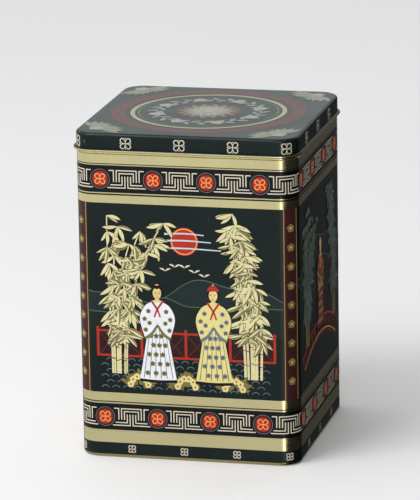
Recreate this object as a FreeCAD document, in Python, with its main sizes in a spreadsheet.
"""Square lithographed tea tin with a slip lid: a parametric FreeCAD document, in millimetres.

The tin stands on the XY plane with its axis on +Z and its printed front facing -Y. Every shell is
0.25 mm tinplate. A shell is drawn as one closed section through the sheet at the right-hand side,
padded along the straight side, turned through 90 degrees round the corner, and both are repeated
four times round Z. Flat panels are closed with a square plate between the four corner centres.

Pieces: body_wall (rolled and lock-seamed wall with its foot and mouth curl), base_end (pressed
base hooked over the foot's lip), base_seam_compound (lining inside that hook), lid_shell (drawn
slip lid with a curled edge), inner_lid_pan, inner_lid_knob and knob_rivet (press-in inner lid).
"""

import FreeCAD, Part
import math
import os

import Sketcher

SIZES = {  # millimetres; the driving dimensions of every piece
    "sheet": 0.25,  # tinplate thickness
    "half_width": 51.0,  # outer face of the wall from the axis
    "corner_centre": 41.8,  # axis of each rounded corner, in X and in Y
    "slit": 0.1,  # free gap between the sheets of the base seam
    "foot_radius": 1.5,  # outer bend where the wall turns in under the tin
    "foot_flat": 0.9,  # width of the ring that the tin stands on
    "lip_radius": 0.6,  # outer bend from that ring up into the lip
    "lip_top": 2.6,
    "hook_foot": 0.45,  # free edge of the base's hook
    "panel_height": 1.25,  # underside of the base panel's rim
    "panel_bend": 0.5,
    "panel_step": 0.75,  # height of the pressed step in base and inner lid
    "step_start": 44.2,  # where that step starts, from the axis
    "shoulder": 141.8,  # top of the full-width wall
    "neck_inset": 0.3,
    "mouth_top": 149.6,
    "mouth_curl": 0.7,  # outer radius of the mouth's inward curl
    "seam_offset": 36.0,  # lock seam from the axis, along the rear wall
    "seam_width": 6.0,
    "seam_fold": 0.5,  # two more layers of sheet inside the wall
    "seam_low": 5.0,
    "lid_top": 151.5,
    "lid_half_width": 51.2,
    "lid_edge_radius": 1.5,
    "curl_radius": 0.75,  # outer radius of the lid's outward curl
    "curl_height": 143.6,  # centre of that curl
    "flange_height": 149.65,  # underside of the inner lid's flange
    "flange_edge": 50.6,
    "plug_half_width": 49.05,
    "flange_bend": 0.3,
    "plug_foot": 140.6,  # underside of the inner lid's pan
    "pan_bend": 0.8,
    "knob_height": 7.8,
    "knob_radius": 6.5,
    "knob_neck": 2.7,
    "knob_foot": 3.6,
    "knob_foot_height": 0.8,
    "knob_neck_low": 1.9,  # heights above the knob's seat
    "knob_neck_high": 3.3,
    "knob_edge_height": 4.8,
    "knob_flat": 2.9,  # radius of the flat on top
    "rivet_radius": 1.2,
    "rivet_gap": 0.05,
    "rivet_depth": 4.0,  # reach of the shank into the knob
    "rivet_head": 2.6,
    "rivet_head_height": 0.8,
    "rivet_edge_height": 0.4,
    "rivet_flat": 1.6,
}

MITRE = math.tan(math.pi / 8)  # share of the sheet that a 45 degree bend moves its corner by
CURL_END = math.radians(115)  # where the lid's curl stops, just short of the skirt

doc = FreeCAD.newDocument("tea_tin")
sheet_cells = doc.addObject("Spreadsheet::Sheet", "Sizes")


class Cell:
    """A length with its value and the expression that gives it from the spreadsheet."""

    def __init__(self, value, text):
        self.value = value
        self.text = text

    @classmethod
    def of(cls, thing):
        return thing if isinstance(thing, cls) else cls(float(thing), f"{float(thing):.6f}")

    def __add__(self, other):
        other = Cell.of(other)
        return Cell(self.value + other.value, f"({self.text} + {other.text})")

    def __sub__(self, other):
        other = Cell.of(other)
        return Cell(self.value - other.value, f"({self.text} - {other.text})")

    def __mul__(self, factor):
        return Cell(self.value * factor, f"({self.text} * {factor:.6f})")


def fill_spreadsheet():
    """Writes each size as a plain number with its alias and returns the cells by name."""
    for row, (alias, value) in enumerate(SIZES.items(), start=1):
        sheet_cells.set(f"A{row}", alias)
        sheet_cells.set(f"B{row}", str(value))
        sheet_cells.setAlias(f"B{row}", alias)
    doc.recompute()
    return {alias: Cell(value, f"Sizes.{alias}") for alias, value in SIZES.items()}


CELLS = fill_spreadsheet()
ZERO = Cell(0.0, "0")


def cell(name):
    """The cell with that alias."""
    return CELLS[name]


def origin_feature(body, role):
    """One of the body's own origin planes or axes."""
    return next(o for o in body.Origin.OriginFeatures if o.Role == role)


def new_body(label):
    """A PartDesign body whose label names the piece."""
    body = doc.addObject("PartDesign::Body", label)
    body.Label = label
    return body


def new_sketch(body, name, role="XZ_Plane"):
    """A sketch on one of the body's origin planes."""
    sketch = body.newObject("Sketcher::SketchObject", name)
    sketch.AttachmentSupport = [(origin_feature(body, role), "")]
    sketch.MapMode = "FlatFace"
    return sketch


def bind(sketch, kind, places, size):
    """Adds one dimension to a sketch and binds it to the spreadsheet."""
    index = sketch.addConstraint(Sketcher.Constraint(kind, *places, size.value))
    sketch.setExpression(f"Constraints[{index}]", size.text)


def bind_point(sketch, edge, end, place):
    """Fixes an edge's start (1) or end (2) at an (x, y) pair of cells from the sketch's origin."""
    for kind, size in (("DistanceX", place[0]), ("DistanceY", place[1])):
        if abs(size.value) < 1e-9:
            axis = -2 if kind == "DistanceX" else -1
            sketch.addConstraint(Sketcher.Constraint("PointOnObject", edge, end, axis))
        else:
            bind(sketch, kind, (-1, 1, edge, end), size)


def arc_between(start, end, radius, counter_clockwise, long_way):
    """The circular arc of that radius from start to end, as a Part.ArcOfCircle."""
    (x0, y0), (x1, y1) = start, end
    chord = math.hypot(x1 - x0, y1 - y0)
    rise = math.sqrt(max(radius**2 - chord**2 / 4, 0.0))
    side = 1.0 if counter_clockwise != long_way else -1.0
    cx = (x0 + x1) / 2 - side * rise * (y1 - y0) / chord
    cy = (y0 + y1) / 2 + side * rise * (x1 - x0) / chord
    circle = Part.Circle(FreeCAD.Vector(cx, cy, 0), FreeCAD.Vector(0, 0, 1), radius)
    first = math.atan2(y0 - cy, x0 - cx)
    last = math.atan2(y1 - cy, x1 - cx)
    if not counter_clockwise:
        first, last = last, first
    return Part.ArcOfCircle(circle, first, last)


def draw_outline(sketch, outline):
    """Draws a closed outline. Each entry is (x, y) or (x, y, radius, turn) for an arc that ends there.

    turn is "left" or "right" for an arc under half a circle, "long left" or "long right" past it.
    """
    count = len(outline)
    ends = []
    for index, entry in enumerate(outline):
        before = outline[index - 1]
        start = (before[0].value, before[1].value)
        end = (entry[0].value, entry[1].value)
        if len(entry) == 2:
            line = Part.LineSegment(FreeCAD.Vector(*start, 0), FreeCAD.Vector(*end, 0))
            sketch.addGeometry(line, False)
            ends.append((1, 2))
        else:
            turn = entry[3]
            left = turn.endswith("left")
            arc = arc_between(start, end, entry[2].value, left, turn.startswith("long"))
            sketch.addGeometry(arc, False)
            ends.append((1, 2) if left else (2, 1))
    for index in range(count):
        following = (index + 1) % count
        sketch.addConstraint(
            Sketcher.Constraint("Coincident", index, ends[index][1], following, ends[following][0])
        )
    for index, entry in enumerate(outline):
        bind_point(sketch, index, ends[index][1], entry[:2])
        if len(entry) == 4:
            bind(sketch, "Radius", (index,), entry[2])


def draw_circle(sketch, radius):
    """A full circle on the sketch's origin."""
    circle = Part.Circle(FreeCAD.Vector(0, 0, 0), FreeCAD.Vector(0, 0, 1), radius.value)
    index = sketch.addGeometry(circle, False)
    sketch.addConstraint(Sketcher.Constraint("Coincident", index, 3, -1, 1))
    bind(sketch, "Radius", (index,), radius)


def draw_square(sketch, half):
    """A square centred on the sketch's origin."""
    minus = ZERO - half
    draw_outline(sketch, [(half, minus), (half, half), (minus, half), (minus, minus)])


def run_round(body, outline):
    """Runs a section round the tin: padded along one side, turned round one corner, four times."""
    centre = cell("corner_centre")
    sketch = new_sketch(body, f"{body.Name}_section")
    sketch.setExpression("AttachmentOffset.Base.z", f"0 - {centre.text}")
    draw_outline(sketch, outline)
    axis = Part.LineSegment(
        FreeCAD.Vector(centre.value, 0, 0), FreeCAD.Vector(centre.value, 10, 0)
    )
    axis_index = sketch.addGeometry(axis, True)
    sketch.addConstraint(Sketcher.Constraint("Vertical", axis_index))
    sketch.addConstraint(Sketcher.Constraint("PointOnObject", axis_index, 1, -1))
    bind(sketch, "DistanceX", (-1, 1, axis_index, 1), centre)
    bind(sketch, "DistanceY", (axis_index, 1, axis_index, 2), Cell(10.0, "10"))
    doc.recompute()
    side = body.newObject("PartDesign::Pad", f"{body.Name}_side")
    side.Profile = sketch
    side.setExpression("Length", f"2 * {centre.text}")
    corner = body.newObject("PartDesign::Revolution", f"{body.Name}_corner")
    corner.Profile = sketch
    corner.ReferenceAxis = (sketch, ["Axis0"])
    corner.Angle = 90.0
    doc.recompute()
    around = body.newObject("PartDesign::PolarPattern", f"{body.Name}_around")
    around.Originals = [side, corner]
    around.Axis = (origin_feature(body, "Z_Axis"), [""])
    around.Angle = 360.0
    around.Occurrences = 4
    body.Tip = around
    doc.recompute()
    return side, corner


def close_panel(body, underside):
    """Adds the square plate between the corner centres, one sheet thick above underside."""
    sketch = new_sketch(body, f"{body.Name}_plate_outline", "XY_Plane")
    sketch.setExpression("AttachmentOffset.Base.z", underside.text)
    draw_square(sketch, cell("corner_centre"))
    plate = body.newObject("PartDesign::Pad", f"{body.Name}_plate")
    plate.Profile = sketch
    plate.setExpression("Length", "Sizes.sheet")
    body.Tip = plate
    doc.recompute()


def panel_step(underside, top):
    """The pressed step of a panel, as outline points on its underside and on its top."""
    sheet = cell("sheet")
    rise = cell("panel_step")
    start = cell("step_start")
    mitre = sheet * MITRE
    low = [(start, underside), (start - rise, underside + rise)]
    high = [(start - rise + mitre, top + rise), (start + mitre, top)]
    return low, high


def body_wall():
    """The wall: foot and lip, full-width wall, shoulder, neck and inward mouth curl, with its seam."""
    body = new_body("body_wall")
    sheet = cell("sheet")
    outer = cell("half_width")
    inner = outer - sheet
    foot_end = outer - cell("foot_radius")
    flat_end = foot_end - cell("foot_flat")
    lip = flat_end - cell("lip_radius")
    shoulder = cell("shoulder")
    neck = outer - cell("neck_inset")
    neck_low = shoulder + cell("neck_inset")
    curl = cell("mouth_curl")
    curl_x = neck - curl
    curl_z = cell("mouth_top") - curl
    outline = [
        (outer, shoulder),
        (neck, neck_low),
        (neck, curl_z),
        (curl_x, curl_z - curl, curl, "long left"),
        (curl_x, curl_z - curl + sheet),
        (neck - sheet, curl_z, curl - sheet, "long right"),
        (neck - sheet, neck_low),
        (inner, shoulder),
        (inner, cell("foot_radius")),
        (foot_end, sheet, cell("foot_radius") - sheet, "right"),
        (flat_end, sheet),
        (lip + sheet, cell("lip_radius"), cell("lip_radius") - sheet, "right"),
        (lip + sheet, cell("lip_top")),
        (lip, cell("lip_top")),
        (lip, cell("lip_radius")),
        (flat_end, ZERO, cell("lip_radius"), "left"),
        (foot_end, ZERO),
        (outer, cell("foot_radius"), cell("foot_radius"), "left"),
    ]
    run_round(body, outline)
    fold = new_sketch(body, "lock_seam_outline", "XY_Plane")
    fold.setExpression("AttachmentOffset.Base.z", "Sizes.seam_low")
    middle = ZERO - cell("seam_offset")
    half = cell("seam_width") * 0.5
    deep = inner - cell("seam_fold")
    face = inner + sheet * 0.5
    draw_outline(
        fold,
        [(middle + half, deep), (middle + half, face), (middle - half, face), (middle - half, deep)],
    )
    seam = body.newObject("PartDesign::Pad", "lock_seam")
    seam.Profile = fold
    seam.setExpression("Length", "Sizes.shoulder - Sizes.seam_low")
    body.Tip = seam
    doc.recompute()
    return body


def base_end():
    """The base: a hook over the wall's lip, a bend, and a panel raised clear of the table."""
    body = new_body("base_end")
    sheet = cell("sheet")
    slit = cell("slit")
    lip = cell("half_width") - cell("foot_radius") - cell("foot_flat") - cell("lip_radius")
    outer_leg = lip + sheet + slit
    inner_leg = lip - slit
    hook_z = cell("lip_top") + slit * 1.5
    middle = lip + sheet * 0.5
    inside = sheet * 0.5 + slit
    under = cell("panel_height")
    top = under + sheet
    bend = cell("panel_bend")
    bend_x = inner_leg - sheet - bend
    low, high = panel_step(under, top)
    outline = [
        (outer_leg, cell("hook_foot")),
        (outer_leg + sheet, cell("hook_foot")),
        (outer_leg + sheet, hook_z),
        (middle, hook_z + inside + sheet, inside + sheet, "left"),
        (inner_leg - sheet, hook_z, inside + sheet, "left"),
        (inner_leg - sheet, top + bend),
        (bend_x, top, bend, "right"),
        high[1],
        high[0],
        (cell("corner_centre"), high[0][1]),
        (cell("corner_centre"), low[1][1]),
        low[1],
        low[0],
        (bend_x, under),
        (inner_leg, top + bend, bend + sheet, "left"),
        (inner_leg, hook_z),
        (middle, hook_z + inside, inside, "right"),
        (outer_leg, hook_z, inside, "right"),
    ]
    run_round(body, outline)
    close_panel(body, low[1][1])
    return body


def base_seam_compound():
    """The lining compound that fills the crown of the base's hook above the wall's lip."""
    body = new_body("base_seam_compound")
    film = cell("slit") * 0.2
    lip = cell("half_width") - cell("foot_radius") - cell("foot_flat") - cell("lip_radius")
    left = lip - cell("slit") + film
    right = lip + cell("sheet") + cell("slit") - film
    hook_z = cell("lip_top") + cell("slit") * 1.5
    crown = cell("sheet") * 0.5 + cell("slit") - film
    outline = [
        (right, cell("lip_top") + film),
        (right, hook_z),
        (left + crown, hook_z + crown, crown, "left"),
        (left, hook_z, crown, "left"),
        (left, cell("lip_top") + film),
    ]
    run_round(body, outline)
    return body


def lid_shell():
    """The drawn slip lid: flat top, rounded edge, skirt, and an outward curl at its lower edge."""
    body = new_body("lid_shell")
    sheet = cell("sheet")
    top = cell("lid_top")
    under = top - sheet
    outer = cell("lid_half_width")
    inner = outer - sheet
    edge = cell("lid_edge_radius")
    curl = cell("curl_radius")
    curl_x = inner + curl
    curl_z = cell("curl_height")
    hollow = curl - sheet
    across = math.cos(CURL_END)
    along = math.sin(CURL_END)
    outline = [
        (cell("corner_centre"), top),
        (cell("corner_centre"), under),
        (outer - edge, under),
        (inner, top - edge, edge - sheet, "right"),
        (inner, curl_z),
        (curl_x + curl * across, curl_z + curl * along, curl, "long left"),
        (curl_x + hollow * across, curl_z + hollow * along),
        (outer, curl_z, hollow, "long right"),
        (outer, top - edge),
        (outer - edge, top, edge, "left"),
    ]
    run_round(body, outline)
    close_panel(body, under)
    return body


def inner_lid_pan():
    """The press-in inner lid: a flange on the mouth, a plug wall and a recessed pan with its hole."""
    body = new_body("inner_lid_pan")
    sheet = cell("sheet")
    flange = cell("flange_height")
    flange_top = flange + sheet
    plug = cell("plug_half_width")
    bend = cell("flange_bend")
    foot = cell("plug_foot")
    pan_bend = cell("pan_bend")
    pan_x = plug - sheet - pan_bend
    pan_z = foot + sheet + pan_bend
    low, high = panel_step(foot, foot + sheet)
    outline = [
        (cell("flange_edge"), flange),
        (cell("flange_edge"), flange_top),
        (plug + bend, flange_top),
        (plug - sheet, flange - bend, bend + sheet, "left"),
        (plug - sheet, pan_z),
        (pan_x, foot + sheet, pan_bend, "right"),
        high[1],
        high[0],
        (cell("corner_centre"), high[0][1]),
        (cell("corner_centre"), low[1][1]),
        low[1],
        low[0],
        (pan_x, foot),
        (plug, pan_z, pan_bend + sheet, "left"),
        (plug, flange - bend),
        (plug + bend, flange, bend, "right"),
    ]
    run_round(body, outline)
    close_panel(body, low[1][1])
    hole = new_sketch(body, "rivet_hole_outline", "XY_Plane")
    hole.setExpression("AttachmentOffset.Base.z", low[1][1].text)
    draw_circle(hole, cell("rivet_radius") + cell("rivet_gap"))
    pocket = body.newObject("PartDesign::Pocket", "rivet_hole")
    pocket.Profile = hole
    pocket.setExpression("Length", "2 * Sizes.sheet")
    pocket.Reversed = True
    body.Tip = pocket
    doc.recompute()
    return body


def turned(label, outline):
    """A piece turned round the tin's axis from half its section."""
    body = new_body(label)
    sketch = new_sketch(body, f"{label}_section")
    draw_outline(sketch, outline)
    doc.recompute()
    turn = body.newObject("PartDesign::Revolution", f"{label}_turn")
    turn.Profile = sketch
    turn.ReferenceAxis = (sketch, ["V_Axis"])
    turn.Angle = 360.0
    body.Tip = turn
    doc.recompute()
    return body


def knob_seat():
    """Height of the inner lid's upper face, where the knob sits."""
    return cell("plug_foot") + cell("sheet") + cell("panel_step")


def inner_lid_knob():
    """The knob: a foot, a neck and a domed head, bored for its rivet."""
    seat = knob_seat()
    top = seat + cell("knob_height")
    bore = cell("rivet_radius") + cell("rivet_gap")
    head = cell("knob_radius")
    neck = cell("knob_neck")
    foot = cell("knob_foot")
    outline = [
        (foot, seat),
        (foot, seat + cell("knob_foot_height")),
        (neck, seat + cell("knob_neck_low")),
        (neck, seat + cell("knob_neck_high")),
        (head, seat + cell("knob_edge_height")),
        (cell("knob_flat"), top, head, "left"),
        (ZERO, top),
        (ZERO, seat + cell("rivet_depth")),
        (bore, seat + cell("rivet_depth")),
        (bore, seat),
    ]
    return turned("inner_lid_knob", outline)


def knob_rivet():
    """The rivet that holds the knob: a head under the pan and a shank up into the knob."""
    seat = knob_seat()
    under = seat - cell("sheet")
    shank = cell("rivet_radius")
    head = cell("rivet_head")
    low = under - cell("rivet_head_height")
    tip = seat + cell("rivet_depth") - cell("rivet_gap")
    outline = [
        (cell("rivet_flat"), low),
        (head, under - cell("rivet_edge_height")),
        (head, under),
        (shank, under),
        (shank, tip),
        (ZERO, tip),
        (ZERO, low),
    ]
    return turned("knob_rivet", outline)


def check_document():
    """Stops if any object failed to compute."""
    for item in doc.Objects:
        if "Invalid" in item.State or "Error" in item.State:
            raise RuntimeError(f"{item.Label} failed: {item.State}")


def write_pieces(pieces):
    """Writes each piece's solid to parts/ under its label."""
    os.makedirs("parts", exist_ok=True)
    for piece in pieces:
        shape = piece.Shape
        if shape.isNull() or not shape.isValid() or len(shape.Solids) != 1:
            raise RuntimeError(f"{piece.Label} has no single valid solid")
        shape.exportStep(f"parts/{piece.Label}.step")
        box = shape.BoundBox
        extents = f"{box.XLength:.2f} x {box.YLength:.2f} x {box.ZLength:.2f}"
        print(f"{piece.Label}: {shape.Volume:.1f} mm3, {extents}")


def main():
    """Builds every piece, checks the document and writes the files."""
    makers = (
        body_wall,
        base_end,
        base_seam_compound,
        lid_shell,
        inner_lid_pan,
        inner_lid_knob,
        knob_rivet,
    )
    pieces = [make() for make in makers]
    doc.recompute()
    check_document()
    write_pieces(pieces)


main()
